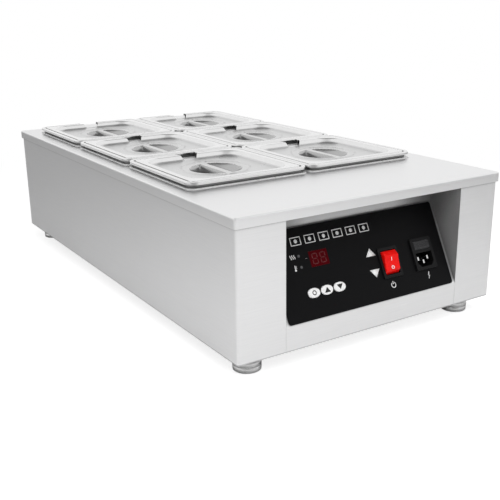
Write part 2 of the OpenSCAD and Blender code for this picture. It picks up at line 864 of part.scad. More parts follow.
module thermal_cutout() color("tan") {
    translate([cutoff_x, well_front - sheet_t, cutoff_z]) {
        translate([-cutoff_plate[0] / 2, -cutoff_plate[1], -cutoff_plate[2] / 2]) cube(cutoff_plate);
        translate([0, -cutoff_plate[1], 0]) rotate([90, 0, 0]) cylinder(d = cutoff_d, h = cutoff_h);
        for (z = SIDES)
            translate([-cutoff_tab[0] / 2, -cutoff_plate[1] - cutoff_h - cutoff_tab[1],
                       z * cutoff_d / 4 - cutoff_tab[2] / 2])
                cube(cutoff_tab);
    }
}

module terminal_block() color("ivory") {
    translate([block_x, block_y, wrap_bottom]) difference() {
        translate([-block_size[0] / 2, -block_size[1] / 2, 0]) cube(block_size);
        for (i = [0 : block_ways - 1])
            translate([(i - (block_ways - 1) / 2) * block_pitch, 0, block_size[2] / 2])
                cylinder(d = block_way, h = block_size[2]);
    }
}

module earth_stud() color("goldenrod") {
    translate([earth_x, earth_y, wrap_bottom]) {
        cylinder(d = earth_d, h = earth_l);
        cylinder(d = earth_nut_d, h = earth_nut_h, $fn = 6);
    }
}

// Leads from the heater's two pins to the ends of the terminal block
module heater_leads() color("firebrick") {
    pin_tip = pans_y - run_l / 2 - element_pitch / 2 - element_tail - element_pin_l;
    lead_z = wrap_bottom + block_size[2] / 2;
    for (side = SIDES) {
        pin_x = side * run_x(element_runs - 1);
        end_x = block_x + side * block_size[0] / 2;
        tube([
            [pin_x, pin_tip - set_gap, element_z],
            [pin_x, pin_tip - lead_bend, element_z],
            [pin_x - side * lead_bend, block_y, lead_z],
            [end_x + side * lead_bend, block_y, lead_z],
            [end_x + side * set_gap, block_y, lead_z]], wire_r);
    }
}

// Leads from the inlet's two poles to the switch, and from the switch to the terminal block
module mains_leads() color("saddlebrown") {
    tail_out = -inlet_depth - blade_tail - set_gap;
    tab_out = -switch_depth - tab_l - set_gap;
    for (i = [0, 1]) {
        row_y = rocker_y - SIDES[i] * tab_pitch / 2;
        pole_x = inlet_x + blade_spots[i][0];
        pole_y = inlet_y + blade_spots[i][1];
        supply_x = rocker_x + tab_pitch / 2;
        load_x = rocker_x - tab_pitch / 2;
        depth = (i + 1) * lead_bend;
        tube([
            slope_point(pole_x, pole_y, tail_out),
            slope_point(pole_x, pole_y, tail_out - depth),
            slope_point(supply_x, row_y, tail_out - depth),
            slope_point(supply_x, row_y, tab_out)], wire_r);
        tube([
            slope_point(load_x, row_y, tab_out),
            slope_point(load_x, row_y, tab_out - lead_bend),
            [block_x + (1 / 2 - i) * -block_pitch, block_y - block_size[1] / 2 - lead_bend,
             wrap_bottom + block_size[2] / 2],
            [block_x + (1 / 2 - i) * -block_pitch, block_y - block_size[1] / 2 - set_gap,
             wrap_bottom + block_size[2] / 2]], wire_r);
    }
}

module earth_lead() color("yellowgreen") {
    tail_out = -inlet_depth - blade_tail - set_gap;
    pole_x = inlet_x + blade_spots[2][0];
    pole_y = inlet_y + blade_spots[2][1];
    lead_z = wrap_bottom + (earth_nut_h + earth_l) / 2;
    tube([
        slope_point(pole_x, pole_y, tail_out),
        slope_point(pole_x, pole_y, tail_out - lead_bend),
        [earth_x + 2 * lead_bend, earth_y, lead_z],
        [earth_x + earth_d / 2 + set_gap, earth_y, lead_z]], wire_r);
}

// Lead from the probe, under the heater, to the back of the control board
module probe_lead() color("whitesmoke") {
    lead_z = (clamp_top - sheet_t + wrap_bottom + insulation_t) / 2;
    probe_front = probe_y - probe_l / 2;
    board_spot = [board_x - board_w / 2 + 2 * board_inset, board_y - board_l / 2 + 2 * board_inset];
    tube([
        [probe_x, probe_front - set_gap, probe_z],
        [probe_x, probe_front - lead_bend, probe_z],
        [probe_x, probe_front - 3 * lead_bend, lead_z],
        [probe_x, well_front, lead_z],
        [block_x, block_y + block_size[1] / 2 + lead_bend, wrap_bottom + block_size[2] + lead_bend],
        slope_point(board_spot[0], board_spot[1], -board_back - board_t - 2 * lead_bend),
        slope_point(board_spot[0], board_spot[1], -board_back - board_t - set_gap)], wire_r);
}

module foot_collars() color("gray") {
    for (end = [0, 1], col = [0, 1])
        translate(concat(foot_place(end, col), cup_h)) difference() {
            rotate_extrude() polygon([
                [0, 0], [foot_d / 2 - collar_chamfer, 0], [foot_d / 2, collar_chamfer],
                [foot_d / 2, collar_h], [0, collar_h]]);
            translate([0, 0, -over]) cylinder(d = stud_d + 2 * slide_gap, h = collar_h + 2 * over);
        }
}

module foot_nuts() color("silver") {
    for (end = [0, 1], col = [0, 1])
        translate(concat(foot_place(end, col), wrap_bottom)) difference() {
            cylinder(d = nut_d, h = nut_h, $fn = 6);
            translate([0, 0, -over]) cylinder(d = stud_d + 2 * run_gap, h = nut_h + 2 * over);
        }
}

// Threaded stud, held in the nut above and in the cup below
module foot_stud(end, col) color("silver") {
    translate(concat(foot_place(end, col), cup_h - stud_sink))
        cylinder(d = stud_d, h = stud_sink + collar_h + sheet_t + nut_h + stud_rise);
}

module foot_cup(end, col) color("darkgray") {
    translate(concat(foot_place(end, col), 0)) difference() {
        rotate_extrude() polygon([
            [0, 0], [foot_d / 2 - cup_chamfer, 0], [foot_d / 2, cup_chamfer],
            [foot_d / 2, cup_h - collar_chamfer], [foot_d / 2 - collar_chamfer, cup_h], [0, cup_h]]);
        translate([0, 0, cup_h - stud_sink]) cylinder(d = stud_d + 2 * run_gap, h = stud_sink + over);
    }
}

// Pan body grown outwards by a distance, its rim at z = 0
module pan_form(grow) {
    upper_h = pan_depth - pan_foot_h - pan_wall + grow;
    top_w = pan_body_w - 2 * pan_wall + 2 * grow;
    top_l = pan_body_l - 2 * pan_wall + 2 * grow;
    top_r = pan_corner_r - pan_wall + grow;
    leaning_block(top_w, top_l, top_r, pan_lean, upper_h);
    translate([0, 0, -upper_h])
        leaning_block(top_w - 2 * pan_lean, top_l - 2 * pan_lean, top_r - pan_lean,
                      pan_foot_in, pan_foot_h);
}

module pan(row, col) color("lightgray") {
    translate(concat(pan_place(row, col), pan_flange_top)) difference() {
        union() {
            translate([0, 0, -pan_wall]) rounded_plate(pan_w, pan_l, pan_rim_r, pan_wall);
            pan_form(pan_wall);
        }
        pan_form(0);
    }
}

// Dish in the lid, grown outwards by a distance
module dish_form(grow) {
    translate([0, 0, dish_floor_z - grow])
        cylinder(d1 = dish_d - 2 * dish_lean + 2 * grow, d2 = dish_d + 2 * grow, h = dish_depth + grow);
}

// Pinch bar across the dish, from below its floor up to a height
module bar_form(w, top) {
    low = dish_floor_z - 2 * lid_t;
    translate([-w / 2, -dish_d / 2, low]) cube([w, dish_d, top - low]);
}

// Stamped lid resting on the pan's flange
module lid(row, col) color("gainsboro") {
    translate(concat(pan_place(row, col), pan_flange_top)) {
        lid_sheet();
        dish_bead();
    }
}

// Raised bead round the dish
module dish_bead() {
    translate([0, 0, lid_panel_z + bead_r / 4]) rotate_extrude()
        translate([dish_d / 2 + bead_run + bead_r, 0]) circle(bead_r);
}

// Plate of the lid's outline, set in all round
module lid_plate(inset, h) {
    rounded_plate(lid_w - 2 * inset, lid_l - 2 * inset, lid_corner_r - inset, h);
}

// Upright ring that follows the lid's outline, set in all round
module lid_ring(inset, w, h) {
    difference() {
        lid_plate(inset, h);
        translate([0, 0, -over]) lid_plate(inset + w, h + 2 * over);
    }
}

// Pressed sheet of the lid on its rest ring, heights counted from the top of the pan's flange
module lid_sheet() {
    difference() {
        union() {
            translate([0, 0, lid_skirt_h - lid_edge_h]) difference() {
                lid_plate(0, lid_edge_h);
                translate([0, 0, -over]) lid_plate(lid_t, lid_edge_h - lid_t + over);
            }
            lid_ring(rest_inset, rest_w, lid_skirt_h);
            translate([0, 0, lid_skirt_h])
                leaning_block(recess_w + 2 * lid_t, recess_l + 2 * lid_t, lid_recess_r + lid_t,
                              lid_recess_in, lid_recess + lid_t);
            dish_form(lid_t);
        }
        difference() {
            union() {
                translate([0, 0, lid_skirt_h])
                    leaning_block(recess_w, recess_l, lid_recess_r, lid_recess_in, lid_recess);
                dish_form(0);
            }
            intersection() {
                bar_form(bar_w, lid_panel_z);
                dish_form(lid_t);
            }
        }
        translate([0, 0, lid_t]) lid_ring(rest_inset + lid_t, rest_w - 2 * lid_t, lid_skirt_h);
        bar_form(bar_w - 2 * lid_t, lid_panel_z - lid_t);
        translate([0, lid_l / 2 - notch_reach + notch_w / 2, dish_floor_z]) {
            cylinder(d = notch_w, h = lid_skirt_h + dish_depth);
            translate([-notch_w / 2, 0, 0]) cube([notch_w, notch_reach, lid_skirt_h + dish_depth]);
        }
    }
}

outer_wrap();
base_plate();
base_screws();
top_deck();
front_panel();
control_fascia();
display_window();
display_module();
heat_lamp();
thermal_lamp();
control_board();
board_standoffs();
key_switches();
board_relay();
board_transformer();
switch_housing();
switch_rocker();
switch_terminals();
inlet_housing();
inlet_pins();
fuse_drawer();
fuses();
well_tub();
heating_element();
element_clamps();
insulation_board();
temperature_probe();
probe_clip();
thermal_cutout();
terminal_block();
earth_stud();
heater_leads();
mains_leads();
earth_lead();
probe_lead();
foot_collars();
foot_nuts();
for (i = [0 : len(KEYS) - 1])
    button(i);
for (row = [0 : 2], col = [0 : 1])
    pan(row, col);
for (row = [0 : 2], col = [0 : 1])
    lid(row, col);
for (end = [0, 1], col = [0, 1])
    foot_stud(end, col);
for (end = [0, 1], col = [0, 1])
    foot_cup(end, col);
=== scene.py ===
"""Looks of a six-pan chocolate melting tank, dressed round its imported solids. Lengths are in metres."""
import json
import math

import bmesh
import bpy
from mathutils import Matrix, Vector

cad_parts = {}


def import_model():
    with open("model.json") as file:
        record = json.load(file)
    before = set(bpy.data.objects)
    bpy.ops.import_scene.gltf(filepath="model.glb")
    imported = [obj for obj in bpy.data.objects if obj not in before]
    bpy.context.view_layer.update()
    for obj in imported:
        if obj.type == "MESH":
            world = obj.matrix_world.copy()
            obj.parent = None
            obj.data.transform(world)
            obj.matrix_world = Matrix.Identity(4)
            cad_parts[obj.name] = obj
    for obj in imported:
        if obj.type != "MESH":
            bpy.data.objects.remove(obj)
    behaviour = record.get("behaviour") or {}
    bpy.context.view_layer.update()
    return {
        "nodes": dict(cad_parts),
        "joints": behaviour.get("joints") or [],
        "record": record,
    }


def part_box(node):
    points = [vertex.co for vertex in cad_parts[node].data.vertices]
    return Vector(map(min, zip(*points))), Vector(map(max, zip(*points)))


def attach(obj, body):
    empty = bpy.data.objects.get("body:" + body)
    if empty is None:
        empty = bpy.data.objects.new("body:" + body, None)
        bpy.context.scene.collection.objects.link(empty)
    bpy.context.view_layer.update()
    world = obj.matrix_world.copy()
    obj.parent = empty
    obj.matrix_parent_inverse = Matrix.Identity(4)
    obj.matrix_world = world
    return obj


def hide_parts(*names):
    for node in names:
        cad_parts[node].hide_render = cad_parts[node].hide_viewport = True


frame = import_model()
scene = bpy.context.scene

ROWS = ("front", "middle", "back")
COLUMNS = ("left", "right")
ENDS = ("front", "back")
PLACES = [f"{row}_{column}" for row in ROWS for column in COLUMNS]
FEET = [f"{end}_{column}" for end in ENDS for column in COLUMNS]

# Camera, angles in degrees
CAMERA_PLACE = (-0.544, -0.933, 0.364)
CAMERA_AZIMUTH = 32.17
CAMERA_PITCH = -17.47
CAMERA_ROLL = -0.8
CAMERA_LENS = 56.9

# Studio
FLOOR_SIZE = 12
FLOOR_T = 0.02
FLOOR_COLOR = 0.9
FLOOR_SHADE = 0.55
FLOOR_LEAST_LIGHT = 0.4
FLOOR_NEAR = 0.5
FLOOR_FAR = 0.95
WORLD_FILL = 0.35
KEY_PLACE = (-0.25, -0.9, 1.0)
KEY_SIZE = 1.4
KEY_POWER = 14

# Dark cards that shiny metal mirrors: direction, inner and outer angle in degrees, and the light left there
DARK_CARDS = [((-0.5, -0.85, 0.2), 15, 48, 0.4), ((0.0, 0.0, 1.0), 22, 42, 0.3)]

# Rounded outlines: segments in half a corner and along each side
HALF_CORNER = 6
STRAIGHT = 60
PATCH_CELLS = 2 * HALF_CORNER + STRAIGHT
SHARP_ANGLE = 40

# Lids, heights counted from the top of the pan's flange
LID_H = 0.007
LID_T = 0.0005
LID_R = 0.013
LID_EDGE_R = 0.0022
LID_SKIRT = 0.0032
REST_INSET = 0.0042
REST_W = 0.003
REST_EDGE_R = 0.0008
LID_BAND = 0.014
LID_RECESS = 0.006
LID_LEAN = 0.003
RECESS_R = 0.024
RECESS_EDGE_R = 0.0016
RECESS_FOOT_R = 0.0024
PANEL_RUN = 0.005
PANEL_MARK = 0.0012
PATCH_HALF = 0.045
DISH_R = 0.0328
DISH_LEAN = 0.0076
DISH_DEPTH = 0.009
DISH_MARK = 0.0006
BAR_HALF = 0.0044
BAR_SIDE = 0.0019
BEAD_R = 0.0411
BEAD_HALF = 0.0016
BEAD_H = 0.0011
NOTCH_W = 0.028
NOTCH_REACH = 0.020
NOTCH_STEPS = 24

# Pans
PAN_T = 0.001
PAN_RIM_R = 0.008
PAN_FLANGE = 0.010
PAN_R = 0.018
PAN_LEAN = 0.005
PAN_FOOT_H = 0.009
PAN_FOOT_LEAN = 0.007
PAN_FLOOR_RUN = 0.008
PAN_LIP_FILLET = 0.003
PAN_WALL_FILLET = 0.006
PAN_FLOOR_FILLET = 0.005

# Deck
DECK_T = 0.0012
DECK_R = 0.003
DECK_EDGE_R = 0.0018
CUTOUT_GAP = 0.0025
CUTOUT_R = 0.0205

# Feet
COLLAR_ROUND = 0.0012
COLLAR_STEP = 0.0007
CUP_ROUND = 0.0016
FOOT_GROOVE = 0.00025
FOOT_GROOVES = 1
RIM_STEPS = 4

# Marks on the fascia, measured from its lower left corner
INK_T = 0.00006
STROKE_W = 0.0009
TITLE_X = 0.0265
TITLE_Y = 0.084
PAN_ICONS = 6
PAN_ICON_W = 0.0135
PAN_ICON_H = 0.0092
PAN_ICON_STEP = 0.0185
PAN_ICON_DISH = 0.0021
LAMP_MARK_X = 0.0245
HEAT_Y = 0.068
HEAT_H = 0.0045
HEAT_SWING = 0.0006
HEAT_STEP = 0.0024
THERMAL_Y = 0.056
THERMO_H = 0.004
BULB_R = 0.0012
TICKS = 3
TICK_W = 0.0014
TICK_STEP = 0.0012
ARROW_X = 0.125
ARROW_UP_Y = 0.0555
ARROW_DOWN_Y = 0.0315
ARROW_W = 0.0136
ARROW_H = 0.0090
SWITCH_MARK_X = 0.145
SWITCH_MARK_Y = 0.0145
POWER_R = 0.0034
POWER_ARC = (120, 420)
POWER_BAR_SHARE = 0.75
MAINS_MARK_X = 0.199
MAINS_MARK_Y = 0.0155
BOLT_H = 0.008
BOLT_REACH = 0.0012
BOLT_JOG = 0.0009
DASH_X = 0.041
DASH_Y = 0.064
DASH_W = 0.0024
DASH_H = 0.0006

# Display figures; the gap between the bars is a share of their thickness
DIGIT_W = 0.0074
DIGIT_H = 0.0122
DIGIT_T = 0.0012
DIGIT_STEP = 0.0104
DIGIT_GAP_SHARE = 1.2

# Push buttons
BUTTON_W = 0.0156
BUTTON_H = 0.0104
BUTTON_POWER = 2.1
BUTTON_POINTS = 64
BUTTON_EDGE = 0.0007
BUTTON_EDGE_STEPS = 5
BUTTON_DOME = 0.0003
DOME_SHARES = (0.75, 0.5, 0.25)
BUTTON_MARK_W = 0.0078
BUTTON_MARK_H = 0.0056
BUTTON_RING_R = 0.0026

# Rocker, on the slope's axes from its pivot, angles in degrees
ROCKER_PIVOT = 0.0004
ROCKER_W = 0.020
ROCKER_EDGE = 0.0006
ROCKER_EDGE_STEPS = 3
ROCKER_EDGE_ROUND = 0.5
ROCKER_SHARP = 25
ROCKER_CROWN = 0.0045
ROCKER_CREST = 0.0080
ROCKER_CREST_H = 0.0059
ROCKER_END_H = 0.0015
ROCKER_SOLE = 0.0040
ROCKER_SOLE_REACH = 0.0124
ROCKER_REACH = 0.0133
ROCKER_TILT = 10
ROCKER_MARK_H = 0.0042
ROCKER_RING_R = 0.0021
ON_MARK_SHARE = 0.5
OFF_MARK_SHARE = 0.7

# Edges of the moulded switch and inlet
MOULD_EDGE = 0.0003
MOULD_EDGE_STEPS = 2
WELD_REACH = 0.00001

# Noise that varies every finish, and the openness at which a recess gets its full painted shade or none
NOISE_DETAIL = 6
NOISE_LIMITS = (0.1, 0.9)
RELIEF_STRENGTH = 0.3
NOOK_LIMITS = (0.45, 0.9)
NOOK_SAMPLES = 16
NOOK_FADE_SHARE = 0.25

# Scale of each finish's noise; a brushed sheet is a trace bluer than grey
BRUSH_SCALE = 4000
CLOUD_SCALE = 60
MOULD_SCALE = 2500
INK_SCALE = 1800
BRUSH_BLUE = 1.005
EVEN_GRAIN = (1, 1, 1)


def clamp(value):
    return min(max(value, 0.0), 1.0)


def ease(value):
    """Smooth step from 0 to 1."""
    t = clamp(value)
    return t * t * (3 - 2 * t)


def angles(start, end, count):
    """Count angles in radians from start up to, but not with, end, both in degrees."""
    return [math.radians(start + (end - start) * i / count) for i in range(count)]


def arc(centre, r, start, end, count):
    return [(centre[0] + r * math.cos(t), centre[1] + r * math.sin(t)) for t in angles(start, end, count)]


def quarter_turned(point, quarter):
    x, y = point
    return ((x, y), (-y, x), (-x, -y), (y, -x))[quarter]


def outline(half_w, half_l, r):
    """Rounded rectangle as points, anticlockwise from the middle of its front left corner."""
    points = []
    for quarter in range(4):
        a, b = (half_w, half_l) if quarter % 2 == 0 else (half_l, half_w)
        side = arc((r - a, r - b), r, -135, -90, HALF_CORNER)
        side += [((2 * i / STRAIGHT - 1) * (a - r), -b) for i in range(STRAIGHT)]
        side += arc((a - r, r - b), r, -90, -45, HALF_CORNER)
        points += [quarter_turned(p, quarter) for p in side]
    return points


def eased_path(corners, steps=5):
    """Path of (inset, height, ring's corner radius) with rounded corners; each corner adds its fillet."""
    path = [corners[0][:3]]
    for before, corner, after in zip(corners, corners[1:], corners[2:]):
        here = Vector(corner[:3])
        into, out = Vector(before[:3]) - here, Vector(after[:3]) - here
        reach = min(corner[3], into.length / 2, out.length / 2)
        a, b = here + into.normalized() * reach, here + out.normalized() * reach
        for i in range(steps + 1):
            t = i / steps
            path.append(tuple(a * (1 - t) ** 2 + here * 2 * t * (1 - t) + b * t * t))
    return path + [corners[-1][:3]]


def add_ring(bm, points, z):
    return [bm.verts.new((x, y, z)) for x, y in points]


def bridge(bm, first, second):
    """Quads from one closed ring to the next."""
    for i in range(len(first)):
        j = (i + 1) % len(first)
        bm.faces.new((first[i], first[j], second[j], second[i]))


def bridge_all(bm, rings):
    for first, second in zip(rings, rings[1:]):
        bridge(bm, first, second)


def add_rings(bm, half_w, half_l, path):
    """Rings along a path of (inset, height, corner radius), bridged one to the next."""
    rings = [add_ring(bm, outline(half_w - inset, half_l - inset, r), z) for inset, z, r in path]
    bridge_all(bm, rings)
    return rings


def close_ends(bm, rings):
    """Flat faces over the lowest and the highest ring."""
    bm.faces.new(rings[0][::-1])
    bm.faces.new(rings[-1])


def loop_pairs(points):
    """Each point of a closed loop with the one after it."""
    return zip(points, points[1:] + points[:1])


def thicken(bm, thickness):
    """Sheet given its thickness below the side that its faces look to; returns the new faces."""
    bm.normal_update()
    seen = set(bm.faces)
    bmesh.ops.solidify(bm, geom=bm.faces[:], thickness=thickness)
    bmesh.ops.recalc_face_normals(bm, faces=bm.faces[:])
    return [face for face in bm.faces if face not in seen]


def linked(name, data):
    obj = bpy.data.objects.new(name, data)
    scene.collection.objects.link(obj)
    return obj


def mesh_of(bm, name, sharp_angle=SHARP_ANGLE):
    """Finished mesh: smooth, with edges over an angle left sharp."""
    limit = math.radians(sharp_angle)
    for face in bm.faces:
        face.smooth = True
    for edge in bm.edges:
        edge.smooth = edge.is_manifold and edge.calc_face_angle(0) < limit
    mesh = bpy.data.meshes.new(name)
    bm.to_mesh(mesh)
    bm.free()
    return mesh


def cut_out(bm, shape):
    """Part of a sheet over a convex anticlockwise shape cut away, however the sheet bends there."""
    inside = bm.faces[:]
    for start, end in loop_pairs(shape):
        foot = Vector((*start, 0))
        outward = Vector((end[1] - start[1], start[0] - end[0], 0)).normalized()
        edges = {edge for face in inside for edge in face.edges}
        verts = {vert for face in inside for vert in face.verts}
        cut = bmesh.ops.bisect_plane(bm, geom=[*verts, *edges, *inside], plane_co=foot, plane_no=outward)
        faces = [part for part in cut["geom"] if isinstance(part, bmesh.types.BMFace)]
        inside = [face for face in faces if outward.dot(face.calc_center_median() - foot) < 0]
    bmesh.ops.delete(bm, geom=inside, context="FACES")


def prism(bm, points, low, high, matrix=Matrix.Identity(4)):
    """Upright solid over an anticlockwise outline."""
    rings = [[bm.verts.new(matrix @ Vector((x, y, z))) for x, y in points] for z in (low, high)]
    close_ends(bm, rings)
    bridge_all(bm, rings)


def piece(name, mesh, material, body, slot, *nodes, place=Matrix.Identity(4)):
    """Piece of the object that rides on a body and stands for some of its nodes."""
    obj = linked(name, mesh)
    if not mesh.materials:
        mesh.materials.append(material)
    obj.matrix_world = place
    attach(obj, body)
    if nodes:
        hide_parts(*nodes)
    return obj


# Materials

def feed(tree, socket, value):
    """Socket given a constant or another node's output."""
    if isinstance(value, bpy.types.NodeSocket):
        tree.links.new(value, socket)
    else:
        socket.default_value = value


def ranged(tree, value, limits, levels, smooth=False):
    """Output that follows a value from one level to another between two limits."""
    span = tree.nodes.new("ShaderNodeMapRange")
    if smooth:
        span.interpolation_type = "SMOOTHSTEP"
    names = ("From Min", "From Max", "To Min", "To Max")
    for name, constant in zip(names, (*limits, *levels)):
        span.inputs[name].default_value = constant
    tree.links.new(value, span.inputs["Value"])
    return span.outputs["Result"]


def worked(tree, operation, first, second):
    """Output of an operation on two outputs."""
    node = tree.nodes.new("ShaderNodeMath")
    node.operation = operation
    tree.links.new(first, node.inputs[0])
    tree.links.new(second, node.inputs[1])
    return node.outputs["Value"]


def mixed(tree, share, first, second):
    """Output that goes from one level to another by a share."""
    node = tree.nodes.new("ShaderNodeMix")
    for name, value in (("Factor", share), ("A", first), ("B", second)):
        feed(tree, node.inputs[name], value)
    return node.outputs["Result"]


def grain_noise(tree, grain, scale):
    """Noise on the object's own axes, stretched by a grain."""
    place = tree.nodes.new("ShaderNodeTexCoord")
    mapping = tree.nodes.new("ShaderNodeMapping")
    mapping.inputs["Scale"].default_value = grain
    noise = tree.nodes.new("ShaderNodeTexNoise")
    noise.inputs["Scale"].default_value = scale
    noise.inputs["Detail"].default_value = NOISE_DETAIL
    tree.links.new(place.outputs["Object"], mapping.inputs["Vector"])
    tree.links.new(mapping.outputs["Vector"], noise.inputs["Vector"])
    return noise.outputs["Fac"]


def tinted(tree, noise, color, spread):
    """Colour that noise makes darker and lighter."""
    ramp = tree.nodes.new("ShaderNodeValToRGB")
    for element, limit, side in zip(ramp.color_ramp.elements, NOISE_LIMITS, (-1, 1)):
        element.position = limit
        element.color = (*[min(c * (1 + side * spread), 1) for c in color], 1)
    tree.links.new(noise, ramp.inputs["Fac"])
    return ramp.outputs["Color"]


def textured(name, color, metallic, roughness, grain, scale, spread, rough_spread, bump, gloss=0.5):
    """Procedural finish: noise stretched by grain varies the colour, the roughness and the relief."""
    material = bpy.data.materials.new(name)
    material.use_nodes = True
    tree = material.node_tree
    shader = tree.nodes["Principled BSDF"]
    shader.inputs["Metallic"].default_value = metallic
    shader.inputs["Specular IOR Level"].default_value = gloss
    noise = grain_noise(tree, grain, scale)
    tree.links.new(tinted(tree, noise, color, spread), shader.inputs["Base Color"])
    levels = (roughness - rough_spread, roughness + rough_spread)
    tree.links.new(ranged(tree, noise, NOISE_LIMITS, levels), shader.inputs["Roughness"])
    relief = tree.nodes.new("ShaderNodeBump")
    relief.inputs["Strength"].default_value = RELIEF_STRENGTH
    relief.inputs["Distance"].default_value = bump
    tree.links.new(noise, relief.inputs["Height"])
    tree.links.new(relief.outputs["Normal"], shader.inputs["Normal"])
    return material


def with_painted_recess_shade(material, reach, floor_clear, metal, least):
    """Painted shade: the finish loses its metal and turns dark in recesses that ambient occlusion finds
    within a reach, but not near the floor.
    """
    tree = material.node_tree
    shader = tree.nodes["Principled BSDF"]
    nook = tree.nodes.new("ShaderNodeAmbientOcclusion")
    nook.samples = NOOK_SAMPLES
    nook.inputs["Distance"].default_value = reach
    place = tree.nodes.new("ShaderNodeTexCoord")
    parts = tree.nodes.new("ShaderNodeSeparateXYZ")
    tree.links.new(place.outputs["Object"], parts.inputs["Vector"])
    low = ranged(tree, parts.outputs["Z"], (floor_clear, floor_clear + reach * NOOK_FADE_SHARE), (1, 0))
    openness = worked(tree, "MAXIMUM", nook.outputs["AO"], low)
    tree.links.new(ranged(tree, openness, NOOK_LIMITS, (0, metal)), shader.inputs["Metallic"])
    # Base colour scaled down where the sheet is enclosed: painted shade
    shade_paint = tree.nodes.new("ShaderNodeVectorMath")
    shade_paint.operation = "SCALE"
    tree.links.new(shader.inputs["Base Color"].links[0].from_socket, shade_paint.inputs[0])
    tree.links.new(ranged(tree, openness, NOOK_LIMITS, (least, 1)), shade_paint.inputs["Scale"])
    tree.links.new(shade_paint.outputs["Vector"], shader.inputs["Base Color"])
    return material


def brushed(name, grey, roughness, grain, spread=0.1, metal=1.0):
    """Stainless sheet brushed along one direction; a matt brush scatters the share that isn't metal."""
    color = (grey, grey, grey * BRUSH_BLUE)
    return textured(name, color, metal, roughness, grain, BRUSH_SCALE, spread=spread,
                    rough_spread=0.06, bump=0.000004)


def polished(name, grey, roughness, metal=1.0):
    """Pressed stainless sheet with faint clouding."""
    return textured(name, (grey, grey, grey), metal, roughness, EVEN_GRAIN, CLOUD_SCALE, spread=0.06,
                    rough_spread=0.08, bump=0.00001)


def moulded(name, color, roughness, gloss=0.5):
    """Moulded plastic with a fine grain."""
    return textured(name, color, 0.0, roughness, EVEN_GRAIN, MOULD_SCALE, spread=0.12,
                    rough_spread=0.1, bump=0.00002, gloss=gloss)


def printed(name, color):
    """Screen-printed ink."""
    return textured(name, color, 0.0, 0.5, EVEN_GRAIN, INK_SCALE, spread=0.08,
                    rough_spread=0.16, bump=0.00001)


def cast(name, color, roughness, scale, spread, rough_spread, bump):
    """Fired or pressed mineral with a coarse grain."""
    return textured(name, color, 0.0, roughness, EVEN_GRAIN, scale, spread, rough_spread, bump)


def turned(name, color, roughness, grain, scale, spread, rough_spread, bump):
    """Bare metal with the marks of a lathe."""
    return textured(name, color, 1.0, roughness, grain, scale, spread, rough_spread, bump)


# The cabinet's brushed steel gets painted shade in its recesses
CABINET_BRUSHED = brushed("cabinet_steel", 0.80, 0.36, (0.008, 0.008, 1), spread=0.06)
MATERIALS = {
    "cabinet_steel": with_painted_recess_shade(CABINET_BRUSHED, reach=0.06, floor_clear=0.045, metal=0.88, least=0.2),
    "deck_steel": brushed("deck_steel", 0.82, 0.32, (1, 0.008, 1), spread=0.05, metal=0.9),
    "base_steel": brushed("base_steel", 0.55, 0.42, (1, 0.05, 1)),
    "fixing_steel": polished("fixing_steel", 0.55, 0.35),
    "fascia_black": moulded("fascia_black", (0.005, 0.005, 0.0055), 0.45, gloss=0.06),
    "display_red": moulded("display_red", (0.075, 0.0008, 0.003), 0.25, gloss=0.03),
    "display_dark": moulded("display_dark", (0.03, 0.03, 0.03), 0.5),
    "lamp_lens": moulded("lamp_lens", (0.08, 0.08, 0.085), 0.2),
    "board_green": moulded("board_green", (0.02, 0.16, 0.06), 0.4),
    "pin_nickel": polished("pin_nickel", 0.72, 0.25),
    "standoff_brass": turned("standoff_brass", (0.7, 0.55, 0.25), 0.3, EVEN_GRAIN, 400, 0.12, 0.1, 0.00001),
    "component_black": moulded("component_black", (0.007, 0.007, 0.0075), 0.4, gloss=0.12),
    "relay_blue": moulded("relay_blue", (0.03, 0.12, 0.42), 0.45),
    "transformer_core": moulded("transformer_core", (0.25, 0.22, 0.15), 0.5),
    "button_white": moulded("button_white", (0.95, 0.95, 0.95), 0.35),
    "rocker_red": moulded("rocker_red", (0.95, 0.006, 0.004), 0.3, gloss=0.2),
    "fuse_glass": moulded("fuse_glass", (0.75, 0.78, 0.78), 0.1),
    "heater_steel": brushed("heater_steel", 0.35, 0.5, (1, 0.1, 1)),
    "insulation": cast("insulation", (0.7, 0.64, 0.46), 0.95, 700, 0.4, 0.05, 0.0004),
    "cutout_ceramic": cast("cutout_ceramic", (0.75, 0.71, 0.6), 0.6, 900, 0.16, 0.2, 0.00005),
    "wire_sleeve": moulded("wire_sleeve", (0.3, 0.07, 0.04), 0.6),
    "pan_steel": polished("pan_steel", 0.80, 0.3, metal=0.35),
    "lid_steel": polished("lid_steel", 0.79, 0.22),
    "foot_steel": turned("foot_steel", (0.62, 0.62, 0.62), 0.3, (0.03, 0.03, 1), 900, 0.24, 0.16, 0.00004),
}
# Underside of a lid: a dark copy of its steel, painted shade in the gap under its edge
UNDERSIDE_PAINTED_SHADE = polished("lid_underside_painted_shade", 0.26, 0.5)
# Recessed panel of a lid: a darker copy of the lid's steel, painted shade
PANEL_PAINTED_SHADE = polished("lid_panel_painted_shade", 0.66, 0.3)
# Pinch dish of a lid: a still darker copy of its steel, painted shade deep in the hollow
DISH_PAINTED_SHADE = polished("lid_dish_painted_shade", 0.46, 0.26)
DRAWER_GREY = moulded("drawer_grey", (0.03, 0.03, 0.032), 0.4, gloss=0.3)
INK_WHITE = printed("ink_white", (0.95, 0.95, 0.95))
INK_GREY = printed("ink_grey", (0.25, 0.25, 0.25))
INK_BLACK = printed("ink_black", (0.012, 0.012, 0.012))
DIGIT_RED = printed("digit_red", (0.11, 0.006, 0.008))

# Finishes of a lid, in the order of its faces' numbers: band, panel, dish, underside; panel, dish and
# underside are darker copies of the band's steel, painted shade
LID_FINISHES = [MATERIALS["lid_steel"], PANEL_PAINTED_SHADE, DISH_PAINTED_SHADE, UNDERSIDE_PAINTED_SHADE]


